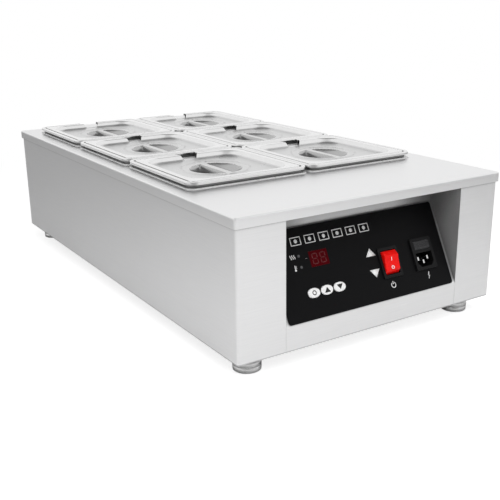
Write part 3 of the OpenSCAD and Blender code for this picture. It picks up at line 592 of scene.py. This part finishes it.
def dress_nodes():
    """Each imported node's finish, by its slot in the record; the fuse drawer is a little greyer."""
    for part in frame["record"]["subparts"]:
        for slot in frame["nodes"][part["node"]].material_slots:
            slot.material = MATERIALS[part["material_slot"]]
    for slot in frame["nodes"]["fuse_drawer"].material_slots:
        slot.material = DRAWER_GREY


# Lids, pans and deck

def dish_height(x, y):
    """Height of the pinch dish, its bar and its bead over the lid's panel."""
    r = math.hypot(x, y)
    bowl = -DISH_DEPTH * ease((DISH_R - r) / DISH_LEAN)
    bar_top = -DISH_DEPTH * ease((abs(x) - BAR_HALF) / BAR_SIDE)
    return max(bowl, bar_top) + BEAD_H * ease(1 - abs(r - BEAD_R) / BEAD_HALF)


def add_patch(bm, half, z):
    """Square patch with the dish pressed into it; returns its border, in the order of an outline."""
    cuts = [half * (2 * i / PATCH_CELLS - 1) for i in range(PATCH_CELLS + 1)]
    grid = [[bm.verts.new((x, y, z + dish_height(x, y))) for y in cuts] for x in cuts]
    for i in range(PATCH_CELLS):
        for j in range(PATCH_CELLS):
            bm.faces.new((grid[i][j], grid[i + 1][j], grid[i + 1][j + 1], grid[i][j + 1]))
    last = PATCH_CELLS
    border = [grid[i][0] for i in range(last)] + [grid[last][j] for j in range(last)]
    return border + [grid[last - i][last] for i in range(last)] + [grid[0][last - j] for j in range(last)]


def lid_path(panel_z):
    """Section of a lid from its turned-down edge, over the rest ring and the band, to its panel."""
    wall_foot = LID_BAND + LID_LEAN
    rest_out, rest_in = REST_INSET + LID_T, REST_INSET + REST_W - LID_T
    return eased_path([
        (0, LID_H - LID_SKIRT, LID_R, 0),
        (0, LID_H, LID_R, LID_EDGE_R),
        (rest_out, LID_H, LID_R - rest_out, REST_EDGE_R),
        (rest_out, LID_T, LID_R - rest_out, REST_EDGE_R / 2),
        (rest_in, LID_T, LID_R - rest_in, REST_EDGE_R / 2),
        (rest_in, LID_H, LID_R - rest_in, REST_EDGE_R),
        (LID_BAND, LID_H, RECESS_R, RECESS_EDGE_R),
        (wall_foot, panel_z, RECESS_R - LID_LEAN, RECESS_FOOT_R),
        (wall_foot + PANEL_RUN, panel_z, RECESS_R - LID_LEAN - PANEL_RUN, 0)])


def notch(half_l):
    """Outline of the ladle notch in a lid's back edge."""
    centre_y = half_l - NOTCH_REACH + NOTCH_W / 2
    mouth = half_l + NOTCH_W
    round_end = arc((0, centre_y), NOTCH_W / 2, -180, 0, NOTCH_STEPS)
    return round_end + [(NOTCH_W / 2, centre_y), (NOTCH_W / 2, mouth), (-NOTCH_W / 2, mouth)]


def lid_mesh(half_w, half_l):
    """Pressed lid with a turned-down edge, a recessed panel, a pinch dish and a ladle notch."""
    panel_z = LID_H - LID_RECESS
    bm = bmesh.new()
    rings = add_rings(bm, half_w, half_l, lid_path(panel_z))
    bridge(bm, rings[-1], add_patch(bm, PATCH_HALF, panel_z))
    # Faces below the band take the panel's painted shade, and those down in the dish take a deeper painted
    # shade
    for face in bm.faces:
        height = face.calc_center_median().z
        face.material_index = int(height < panel_z + PANEL_MARK) + int(height < panel_z - DISH_MARK)
    cut_out(bm, notch(half_l))
    # The sheet's underside and cut edges get the painted shade
    for face in thicken(bm, LID_T):
        face.material_index = LID_FINISHES.index(UNDERSIDE_PAINTED_SHADE)
    mesh = mesh_of(bm, "lid_sheet")
    for material in LID_FINISHES:
        mesh.materials.append(material)
    return mesh


def pan_mesh(half_w, half_l, depth):
    """Drawn pan with a flat flange, leaning walls and a sloping band round its floor."""
    foot_top = -depth + PAN_T + PAN_FOOT_H
    wall_foot = PAN_FLANGE + PAN_LEAN
    floor_edge = wall_foot + PAN_FOOT_LEAN
    floor_r = PAN_R - PAN_LEAN - PAN_FOOT_LEAN
    path = eased_path([
        (0, 0, PAN_RIM_R, 0),
        (PAN_FLANGE, 0, PAN_R, PAN_LIP_FILLET),
        (wall_foot, foot_top, PAN_R - PAN_LEAN, PAN_WALL_FILLET),
        (floor_edge, PAN_T - depth, floor_r, PAN_FLOOR_FILLET),
        (floor_edge + PAN_FLOOR_RUN, PAN_T - depth, floor_r / 2, 0)])
    bm = bmesh.new()
    rings = add_rings(bm, half_w, half_l, path)
    bm.faces.new(rings[-1])
    thicken(bm, PAN_T)
    return mesh_of(bm, "pan_shell")


def half_size(node):
    low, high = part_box(node)
    return (high - low) / 2


def top_middle(node):
    """Middle of the top of a node's box."""
    low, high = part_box(node)
    return Vector(((low.x + high.x) / 2, (low.y + high.y) / 2, high.z))


def lids_and_pans():
    pan_half = half_size("pan_front_left")
    lid_half = half_size("lid_front_left")
    lid = lid_mesh(lid_half.x, lid_half.y)
    pan = pan_mesh(pan_half.x, pan_half.y, pan_half.z * 2)
    for place in PLACES:
        rim = Matrix.Translation(top_middle(f"pan_{place}"))
        for kind, sheet, name in (("pan", pan, "pan_shell"), ("lid", lid, "lid_sheet")):
            node, slot = f"{kind}_{place}", f"{kind}_steel"
            piece(f"{name}_{place}", sheet, MATERIALS[slot], node, slot, node, place=rim)


def deck():
    """Top deck with rounded edges, a turned-down lip and a cut-out for each pan."""
    low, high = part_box("top_deck")
    path = eased_path([
        (0, low.z - high.z, DECK_R, 0),
        (0, 0, DECK_R, DECK_EDGE_R),
        (DECK_R, 0, DECK_R / 3, 0)])
    bm = bmesh.new()
    edge_loop = add_rings(bm, high.x, high.y, path)[-1]
    edges = [bm.edges.get(pair) for pair in loop_pairs(edge_loop)]
    for place in PLACES:
        middle, half = top_middle(f"pan_{place}"), half_size(f"pan_{place}")
        inset = PAN_FLANGE - CUTOUT_GAP
        cutout = shifted(outline(half.x - inset, half.y - inset, CUTOUT_R), middle.x, middle.y)
        edges += [bm.edges.new(pair) for pair in loop_pairs(add_ring(bm, cutout, 0))]
    bmesh.ops.triangle_fill(bm, use_beauty=True, use_dissolve=False, edges=edges, normal=(0, 0, 1))
    thicken(bm, DECK_T)
    top = Matrix.Translation((0, 0, high.z))
    sheet = mesh_of(bm, "deck_sheet")
    piece("deck_sheet", sheet, MATERIALS["deck_steel"], "cabinet", "deck_steel", "top_deck", place=top)


# Control slope: its own axes, taken from the way the buttons press

ACROSS = Vector((1, 0, 0))
OUT = -Vector(next(joint["axis"] for joint in frame["joints"] if joint["name"] == "button_set_press"))
UP = OUT.cross(ACROSS)


def slope_box(node):
    """Lowest and highest (across, up, out) of a node along the slope's axes."""
    corners = frame["nodes"][node].data.vertices
    spots = [(v.co.dot(ACROSS), v.co.dot(UP), v.co.dot(OUT)) for v in corners]
    return Vector(map(min, zip(*spots))), Vector(map(max, zip(*spots)))


def slope_place(across, up, out):
    turn = Matrix((ACROSS, UP, OUT)).transposed().to_4x4()
    return Matrix.Translation(ACROSS * across + UP * up + OUT * out) @ turn


def slope_middle(node):
    """Place on the slope over a node's middle, at its outer face."""
    low, high = slope_box(node)
    return slope_place((low.x + high.x) / 2, (low.y + high.y) / 2, high.z)


def shifted(points, x, y):
    return [(px + x, py + y) for px, py in points]


def bar(w, h):
    return [(-w / 2, -h / 2), (w / 2, -h / 2), (w / 2, h / 2), (-w / 2, h / 2)]


def triangle(w, h):
    return [(-w / 2, -h / 2), (w / 2, -h / 2), (0, h / 2)]


def band(r_in, r_out, start, end, count=24):
    """Part of a flat ring, as an anticlockwise outline."""
    steps = [math.radians(start + (end - start) * i / count) for i in range(count + 1)]
    outer = [(r_out * math.cos(t), r_out * math.sin(t)) for t in steps]
    inner = [(r_in * math.cos(t), r_in * math.sin(t)) for t in reversed(steps)]
    return outer + inner


def ring_halves(r_in, r_out):
    return [band(r_in, r_out, 0, 180), band(r_in, r_out, 180, 360)]


def frame_bars(w, h, t):
    """Four bars round a rectangle, each with its place."""
    flat, upright = bar(w, t), bar(t, h - 2 * t)
    rails = [(flat, 0, side * (h - t) / 2) for side in (-1, 1)]
    return rails + [(upright, side * (w - t) / 2, 0) for side in (-1, 1)]


def stroke(path, w):
    """Outline of a line of a given width along a path."""
    left, right = [], []
    for i, (x, y) in enumerate(path):
        before, after = path[max(i - 1, 0)], path[min(i + 1, len(path) - 1)]
        along = Vector((after[0] - before[0], after[1] - before[1])).normalized() * w / 2
        left.append((x - along.y, y + along.x))
        right.append((x + along.y, y - along.x))
    return right + left[::-1]


def wave(h, swing, count=16):
    """Upright wavy line about the origin."""
    spots = [i / count for i in range(count + 1)]
    return [(swing * math.sin(2 * math.pi * t), (t - 1 / 2) * h) for t in spots]


def print_piece(name, shapes, place, material, body, slot, rise=INK_T, sink=0):
    """Flat marks printed on a face: each shape is an outline with its place on the face."""
    bm = bmesh.new()
    for points, x, y in shapes:
        prism(bm, shifted(points, x, y), -sink, rise, place)
    return piece(name, mesh_of(bm, name), material, body, slot)


def pan_icons():
    """A row of lidded pans seen from above."""
    dish = [(points, 0, 0) for points in ring_halves(0, PAN_ICON_DISH)]
    icon = frame_bars(PAN_ICON_W, PAN_ICON_H, STROKE_W) + dish
    starts = [TITLE_X + PAN_ICON_W / 2 + column * PAN_ICON_STEP for column in range(PAN_ICONS)]
    return [(points, x + start, y + TITLE_Y) for start in starts for points, x, y in icon]


def heat_icon():
    """Three rising waves by the upper lamp."""
    rising = stroke(wave(HEAT_H, HEAT_SWING), STROKE_W)
    return [(rising, LAMP_MARK_X + i * HEAT_STEP, HEAT_Y) for i in (-1, 0, 1)]


def thermometer_icon():
    """Stem, bulb and ticks by the lower lamp."""
    stem = [(bar(STROKE_W, THERMO_H), LAMP_MARK_X, THERMAL_Y + BULB_R)]
    bulb = [(points, LAMP_MARK_X, THERMAL_Y - THERMO_H / 2) for points in ring_halves(0, BULB_R)]
    tick = bar(TICK_W, STROKE_W / 2)
    return stem + bulb + [(tick, LAMP_MARK_X + TICK_W, THERMAL_Y + i * TICK_STEP) for i in range(TICKS)]


def arrow_icons():
    """Triangles by the switch, one up and one down."""
    up = triangle(ARROW_W, ARROW_H)
    down = [(-x, -y) for x, y in up]
    return [(up, ARROW_X, ARROW_UP_Y), (down, ARROW_X, ARROW_DOWN_Y)]


def power_icon():
    """Open ring and bar under the switch."""
    opened = band(POWER_R - STROKE_W, POWER_R, *POWER_ARC)
    upright = bar(STROKE_W, POWER_R)
    return [(opened, SWITCH_MARK_X, SWITCH_MARK_Y),
            (upright, SWITCH_MARK_X, SWITCH_MARK_Y + POWER_R * POWER_BAR_SHARE)]


def bolt_icon():
    """Lightning bolt under the mains inlet."""
    path = [(BOLT_REACH, BOLT_H / 2), (-BOLT_JOG, 0), (BOLT_JOG, 0), (-BOLT_REACH, -BOLT_H / 2)]
    return [(stroke(path, STROKE_W), MAINS_MARK_X, MAINS_MARK_Y)]


def fascia_print():
    """White pictograms: pans, heat, thermometer, arrows by the switch, power and mains; and a grey dash."""
    low, high = slope_box("control_fascia")
    place = slope_place(low.x, low.y, high.z)
    shapes = pan_icons() + heat_icon() + thermometer_icon() + arrow_icons() + power_icon() + bolt_icon()
    print_piece("fascia_print", shapes, place, INK_WHITE, "cabinet", "button_white")
    dash = [(bar(DASH_W, DASH_H), DASH_X, DASH_Y)]
    print_piece("fascia_dash", dash, place, INK_GREY, "cabinet", "lamp_lens")


def digit_segments(w, h, t):
    """The seven bars of a lit figure eight."""
    gap = DIGIT_GAP_SHARE * t
    across = bar(w - 2 * gap, t)
    upright = bar(t, h / 2 - gap)
    bars = [(across, 0, y * (h - t) / 2) for y in (-1, 0, 1)]
    return bars + [(upright, x * (w - t) / 2, y * h / 4) for x in (-1, 1) for y in (-1, 1)]


def display_digits():
    place = slope_middle("display_window")
    digit = digit_segments(DIGIT_W, DIGIT_H, DIGIT_T)
    shapes = [(points, x + side * DIGIT_STEP / 2, y) for side in (-1, 1) for points, x, y in digit]
    print_piece("display_digits", shapes, place, DIGIT_RED, "cabinet", "display_red")


def superellipse(half_w, half_h, count=BUTTON_POINTS):
    """Oval a little fuller than an ellipse."""
    points = []
    for t in angles(0, 360, count):
        c, s = math.cos(t), math.sin(t)
        x = half_w * math.copysign(abs(c) ** (2 / BUTTON_POWER), c)
        y = half_h * math.copysign(abs(s) ** (2 / BUTTON_POWER), s)
        points.append((x, y))
    return points


def button_mesh(half_w, half_h, depth):
    """Oval key cap with a rounded rim and a low dome; the top of the dome is at height zero."""
    rim = -BUTTON_DOME
    steps = [(0, -depth), (0, rim - BUTTON_EDGE)]
    for i in range(BUTTON_EDGE_STEPS):
        t = math.pi / 2 * (i + 1) / BUTTON_EDGE_STEPS
        steps.append((BUTTON_EDGE * (1 - math.cos(t)), rim - BUTTON_EDGE * (1 - math.sin(t))))
    for share in DOME_SHARES:
        steps.append((half_h * (1 - share), rim + BUTTON_DOME * (1 - share * share)))
    bm = bmesh.new()
    rings = [add_ring(bm, superellipse(half_w - inset, half_h - inset), z) for inset, z in steps]
    bridge_all(bm, rings)
    close_ends(bm, rings)
    return mesh_of(bm, "key_cap")


def buttons():
    """White key caps: a ring on the first, arrows on the others."""
    low, high = slope_box("button_set")
    cap = button_mesh(BUTTON_W / 2, BUTTON_H / 2, high.z - low.z)
    up = triangle(BUTTON_MARK_W, BUTTON_MARK_H)
    down = [(-x, -y) for x, y in up]
    ring = ring_halves(BUTTON_RING_R - STROKE_W, BUTTON_RING_R)
    for key, outlines in (("set", ring), ("up", [up]), ("down", [down])):
        node = f"button_{key}"
        place = slope_middle(node)
        piece(f"key_cap_{key}", cap, MATERIALS["button_white"], node, "button_white", node, place=place)
        shapes = [(points, 0, 0) for points in outlines]
        print_piece(f"key_mark_{key}", shapes, place, INK_BLACK, node, "component_black", sink=BUTTON_DOME)


def rocker_place():
    """Rocker's axes at its pivot, tipped as it rests."""
    bezel_low, bezel_high = slope_box("switch_housing")
    middle = (bezel_low + bezel_high) / 2
    fascia_out = slope_box("control_fascia")[1].z
    level = slope_place(middle.x, middle.y, fascia_out - ROCKER_PIVOT)
    return level @ Matrix.Rotation(math.radians(ROCKER_TILT), 4, "X")


def rocker():
    """Red rocker with a flush lower half, a raised upper half and slanted ends, marked I and O."""
    place = rocker_place()
    profile = [
        (-ROCKER_SOLE_REACH, -ROCKER_SOLE),
        (ROCKER_SOLE_REACH, -ROCKER_SOLE),
        (ROCKER_REACH, ROCKER_END_H),
        (ROCKER_CREST, ROCKER_CREST_H),
        (0, ROCKER_CROWN),
        (-ROCKER_CREST, ROCKER_CREST_H),
        (-ROCKER_REACH, ROCKER_END_H)]
    on_side = Matrix(((0, 0, 1, 0), (1, 0, 0, 0), (0, 1, 0, 0), (0, 0, 0, 1)))
    bm = bmesh.new()
    prism(bm, profile, -ROCKER_W / 2, ROCKER_W / 2, place @ on_side)
    bmesh.ops.bevel(bm, geom=bm.edges[:], offset=ROCKER_EDGE, segments=ROCKER_EDGE_STEPS,
                    profile=ROCKER_EDGE_ROUND, affect="EDGES")
    mesh = mesh_of(bm, "rocker_key", ROCKER_SHARP)
    piece("rocker_key", mesh, MATERIALS["rocker_red"], "switch_rocker", "rocker_red", "switch_rocker")
    rocker_marks(place @ Matrix.Translation((0, 0, ROCKER_CROWN)))


def rocker_marks(crown):
    """I on the rocker's upper face and O on its lower one, from the crown between them."""
    rise = math.atan2(ROCKER_CREST_H - ROCKER_CROWN, ROCKER_CREST)
    ring = ring_halves(ROCKER_RING_R - STROKE_W, ROCKER_RING_R)
    on = [(bar(STROKE_W, ROCKER_MARK_H), 0, ROCKER_CREST * ON_MARK_SHARE)]
    off = [(points, 0, -ROCKER_CREST * OFF_MARK_SHARE) for points in ring]
    for side, mark, shapes in ((1, "on", on), (-1, "off", off)):
        face = crown @ Matrix.Rotation(side * rise, 4, "X")
        print_piece(f"rocker_mark_{mark}", shapes, face, INK_WHITE, "switch_rocker", "button_white")


def soft_edges(node):
    """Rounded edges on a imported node, laid over it as modifiers."""
    obj = frame["nodes"][node]
    weld = obj.modifiers.new("weld", "WELD")
    weld.merge_threshold = WELD_REACH
    round_off = obj.modifiers.new("round", "BEVEL")
    round_off.width = MOULD_EDGE
    round_off.segments = MOULD_EDGE_STEPS
    round_off.limit_method = "ANGLE"
    round_off.angle_limit = math.radians(SHARP_ANGLE)
    round_off.harden_normals = True


# Feet

def lathe(bm, path, centre, count=96):
    """Turned solid from a path of (radius, height), bottom to top."""
    rings = [add_ring(bm, shifted(arc((0, 0), r, 0, 360, count), centre.x, centre.y), z) for r, z in path]
    bridge_all(bm, rings)
    close_ends(bm, rings)


def turned_path(low, high, r, round_low, round_high):
    """Side of a turned foot: rounded rims and fine grooves between them."""
    first, last = low + round_low, high - round_high
    low_r, high_r = r - round_low, r - round_high
    rim = angles(0, 90, RIM_STEPS)
    path = [(low_r, low)]
    path += [(low_r + round_low * math.sin(t), low + round_low * (1 - math.cos(t))) for t in rim]
    for i in range(FOOT_GROOVES):
        middle = first + (last - first) * (i + 1) / (FOOT_GROOVES + 1)
        path += [(r, middle - FOOT_GROOVE), (r - FOOT_GROOVE, middle), (r, middle + FOOT_GROOVE)]
    path += [(high_r + round_high * math.cos(t), last + round_high * math.sin(t)) for t in rim]
    return path + [(high_r, high)]


def feet():
    """Turned cups, each on its own body, and the collars over them on the cabinet."""
    low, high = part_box("foot_collars")
    steel = MATERIALS["foot_steel"]
    collars = bmesh.new()
    for place in FEET:
        node, name = f"foot_cup_{place}", f"foot_turned_{place}"
        cup_low, cup_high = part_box(node)
        centre = (cup_low + cup_high) / 2
        r = cup_high.x - centre.x
        lathe(collars, turned_path(low.z, high.z, r - COLLAR_STEP, COLLAR_ROUND, COLLAR_ROUND), centre)
        cup = bmesh.new()
        lathe(cup, turned_path(cup_low.z, cup_high.z, r, CUP_ROUND, COLLAR_ROUND), centre)
        piece(name, mesh_of(cup, name), steel, node, "foot_steel", node)
    piece("foot_rings", mesh_of(collars, "foot_rings"), steel, "cabinet", "foot_steel", "foot_collars")


# Floor, light and camera

def floor_material():
    """White to the camera: near the object a diffuse share keeps its shadow, further out it only glows."""
    material = bpy.data.materials.new("floor_pale")
    material.use_nodes = True
    tree = material.node_tree
    tree.nodes.remove(tree.nodes["Principled BSDF"])
    path = tree.nodes.new("ShaderNodeLightPath")
    place = tree.nodes.new("ShaderNodeTexCoord")
    distance = tree.nodes.new("ShaderNodeVectorMath")
    distance.operation = "LENGTH"
    tree.links.new(place.outputs["Object"], distance.inputs[0])
    reach = (FLOOR_NEAR, FLOOR_FAR)
    shade = ranged(tree, distance.outputs["Value"], reach, (FLOOR_SHADE, 0))
    shine = ranged(tree, distance.outputs["Value"], reach, (1 - FLOOR_SHADE * FLOOR_LEAST_LIGHT, 1))
    diffuse = tree.nodes.new("ShaderNodeBsdfDiffuse")
    glow = tree.nodes.new("ShaderNodeEmission")
    both = tree.nodes.new("ShaderNodeAddShader")
    tree.links.new(mixed(tree, path.outputs["Is Camera Ray"], FLOOR_COLOR, shade), diffuse.inputs["Color"])
    tree.links.new(worked(tree, "MULTIPLY", path.outputs["Is Camera Ray"], shine), glow.inputs["Strength"])
    tree.links.new(diffuse.outputs["BSDF"], both.inputs[0])
    tree.links.new(glow.outputs["Emission"], both.inputs[1])
    tree.links.new(both.outputs["Shader"], tree.nodes["Material Output"].inputs["Surface"])
    return material


def floor():
    bm = bmesh.new()
    prism(bm, bar(FLOOR_SIZE, FLOOR_SIZE), -FLOOR_T, 0)
    obj = linked("floor", mesh_of(bm, "floor"))
    obj.data.materials.append(floor_material())


def dark_card(tree, direction, side, inner, outer, least):
    """Light left in a direction: least within the inner angle from a side, all beyond the outer one."""
    facing = tree.nodes.new("ShaderNodeVectorMath")
    facing.operation = "DOT_PRODUCT"
    facing.inputs[1].default_value = Vector(side).normalized()
    tree.links.new(direction, facing.inputs[0])
    limits = (math.cos(math.radians(outer)), math.cos(math.radians(inner)))
    return ranged(tree, facing.outputs["Value"], limits, (1, least), smooth=True)


def world():
    """White surroundings for the camera, metal and glass, dimmer as a light; metal sees the dark cards."""
    made = bpy.data.worlds.new("studio")
    scene.world = made
    made.use_nodes = True
    tree = made.node_tree
    path = tree.nodes.new("ShaderNodeLightPath")
    place = tree.nodes.new("ShaderNodeTexCoord")
    first, *others = [dark_card(tree, place.outputs["Generated"], *card) for card in DARK_CARDS]
    seen = first
    for card in others:
        seen = worked(tree, "MULTIPLY", seen, card)
    shiny = mixed(tree, path.outputs["Is Glossy Ray"], WORLD_FILL, seen)
    clear = worked(tree, "MAXIMUM", path.outputs["Is Camera Ray"], path.outputs["Is Transmission Ray"])
    background = tree.nodes["Background"]
    background.inputs["Color"].default_value = (1, 1, 1, 1)
    tree.links.new(mixed(tree, clear, shiny, 1), background.inputs["Strength"])


def lamp(name, place, size, power):
    """Soft lamp that hangs level and shines down."""
    data = bpy.data.lights.new(name, "AREA")
    data.size = size
    data.energy = power
    obj = linked(name, data)
    obj.location = place
    obj.visible_glossy = False


def camera():
    data = bpy.data.cameras.new("camera")
    data.lens = CAMERA_LENS
    obj = linked("camera", data)
    turn = Matrix.Rotation(math.radians(-CAMERA_AZIMUTH), 4, "Z")
    tip = Matrix.Rotation(math.radians(90 + CAMERA_PITCH), 4, "X")
    roll = Matrix.Rotation(math.radians(CAMERA_ROLL), 4, "Z")
    obj.matrix_world = Matrix.Translation(CAMERA_PLACE) @ turn @ tip @ roll
    scene.camera = obj


dress_nodes()
lids_and_pans()
deck()
fascia_print()
display_digits()
buttons()
rocker()
feet()
for packed_node in ("inlet_housing", "fuse_drawer", "switch_housing"):
    soft_edges(packed_node)
floor()
world()
lamp("key", KEY_PLACE, KEY_SIZE, KEY_POWER)
camera()
scene.view_settings.view_transform = "Standard"
